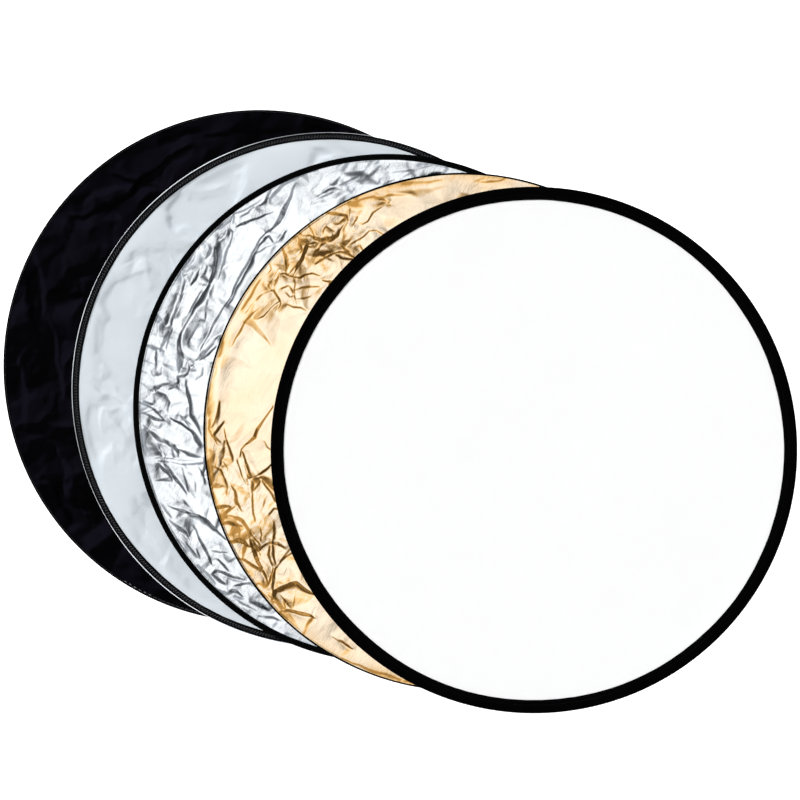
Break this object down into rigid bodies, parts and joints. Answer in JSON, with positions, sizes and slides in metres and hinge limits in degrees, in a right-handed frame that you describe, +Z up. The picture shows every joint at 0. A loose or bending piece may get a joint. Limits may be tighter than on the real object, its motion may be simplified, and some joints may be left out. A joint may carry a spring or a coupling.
{
  "type": "collapsible reflector disc set",
  "caption": "Fanned set of round collapsible photo reflectors: a translucent diffuser over gold, silver, white and black zipped cover discs, each on a spring-steel hoop.",
  "frame": {"origin": "middle of the fanned pile's bounding box, on the surface that the bottom disc lies on", "axes": "+X along the fan towards the diffuser's side, +Y towards the black disc's high side, +Z up, out of the diffuser's face"},
  "size_m": [1.6732, 1.2716, 0.0552],
  "materials": {
    "steel": "satin",
    "gold_foil": "gloss",
    "silver_foil": "gloss",
    "white_cloth": "matte",
    "diffuser_cloth": "matte",
    "black_cloth": "matte",
    "black_tape": "matte",
    "pale_piping": "satin",
    "zip_coil": "satin",
    "zip_metal": "satin"
  },
  "bodies": {
    "black_disc": {"black_back_panel": "white_cloth", "black_back_tape": "black_tape", "black_face_panel": "black_cloth", "black_face_tape": "black_tape", "black_ferrule": "steel", "black_gusset": "black_tape", "black_hoop": "steel", "black_zip_coil": "zip_coil", "black_zip_tape": "black_tape"},
    "white_disc": {"white_back_panel": "black_cloth", "white_back_tape": "black_tape", "white_face_panel": "white_cloth", "white_face_tape": "black_tape", "white_ferrule": "steel", "white_gusset": "black_tape", "white_hoop": "steel", "white_piping": "pale_piping", "white_zip_coil": "zip_coil", "white_zip_tape": "black_tape"},
    "silver_disc": {"silver_back_panel": "gold_foil", "silver_back_tape": "black_tape", "silver_face_panel": "silver_foil", "silver_face_tape": "black_tape", "silver_ferrule": "steel", "silver_gusset": "black_tape", "silver_hoop": "steel", "silver_zip_coil": "zip_coil", "silver_zip_tape": "black_tape"},
    "gold_disc": {"gold_back_panel": "silver_foil", "gold_back_tape": "black_tape", "gold_face_panel": "gold_foil", "gold_face_tape": "black_tape", "gold_ferrule": "steel", "gold_gusset": "black_tape", "gold_hoop": "steel", "gold_zip_coil": "zip_coil", "gold_zip_tape": "black_tape"},
    "diffuser_disc": {"diffuser_binding": "black_tape", "diffuser_ferrule": "steel", "diffuser_hoop": "steel", "diffuser_panel": "diffuser_cloth"},
    "black_zip_slider": {"black_zip_slider": "zip_metal"},
    "black_zip_pull": {"black_zip_pull": "zip_metal"},
    "white_zip_slider": {"white_zip_slider": "zip_metal"},
    "white_zip_pull": {"white_zip_pull": "zip_metal"},
    "silver_zip_slider": {"silver_zip_slider": "zip_metal"},
    "silver_zip_pull": {"silver_zip_pull": "zip_metal"},
    "gold_zip_slider": {"gold_zip_slider": "zip_metal"},
    "gold_zip_pull": {"gold_zip_pull": "zip_metal"}
  },
  "joints": [
    {"name": "white_disc_slide", "type": "slide", "parent": "black_disc", "child": "white_disc", "axis": [-0.9474, 0.3201, 0], "range_m": [0, 0.1569]},
    {"name": "silver_disc_slide", "type": "slide", "parent": "white_disc", "child": "silver_disc", "axis": [-0.9525, 0.3047, 0], "range_m": [0, 0.13]},
    {"name": "gold_disc_slide", "type": "slide", "parent": "silver_disc", "child": "gold_disc", "axis": [-0.9541, 0.2994, 0], "range_m": [0, 0.1643]},
    {"name": "diffuser_disc_slide", "type": "slide", "parent": "gold_disc", "child": "diffuser_disc", "axis": [-0.9696, 0.2447, 0], "range_m": [0, 0.1537]},
    {"name": "black_zip_travel", "type": "hinge", "parent": "black_disc", "child": "black_zip_slider", "pos_m": [-0.2916, 0.0908, 0.0055], "axis": [0, 0, 1], "range_deg": [-206, 0]},
    {"name": "black_pull_flip", "type": "hinge", "parent": "black_zip_slider", "child": "black_zip_pull", "pos_m": [0.20742, -0.13662, 0.0055], "axis": [0, 0, 1], "range_deg": [0, 170]},
    {"name": "white_zip_travel", "type": "hinge", "parent": "white_disc", "child": "white_zip_slider", "pos_m": [-0.143, 0.0406, 0.0168], "axis": [0, 0, 1], "range_deg": [-206, 0]},
    {"name": "white_pull_flip", "type": "hinge", "parent": "white_zip_slider", "child": "white_zip_pull", "pos_m": [0.35602, -0.18682, 0.0168], "axis": [0, 0, 1], "range_deg": [0, 170]},
    {"name": "silver_zip_travel", "type": "hinge", "parent": "silver_disc", "child": "silver_zip_slider", "pos_m": [-0.0192, 0.001, 0.0281], "axis": [0, 0, 1], "range_deg": [-206, 0]},
    {"name": "silver_pull_flip", "type": "hinge", "parent": "silver_zip_slider", "child": "silver_zip_pull", "pos_m": [0.47163, -0.22269, 0.0281], "axis": [0, 0, 1], "range_deg": [0, 170]},
    {"name": "gold_zip_travel", "type": "hinge", "parent": "gold_disc", "child": "gold_zip_slider", "pos_m": [0.1376, -0.0482, 0.0394], "axis": [0, 0, 1], "range_deg": [-206, 0]},
    {"name": "gold_pull_flip", "type": "hinge", "parent": "gold_zip_slider", "child": "gold_zip_pull", "pos_m": [0.6348, -0.27479, 0.0394], "axis": [0, 0, 1], "range_deg": [0, 170]}
  ]
}
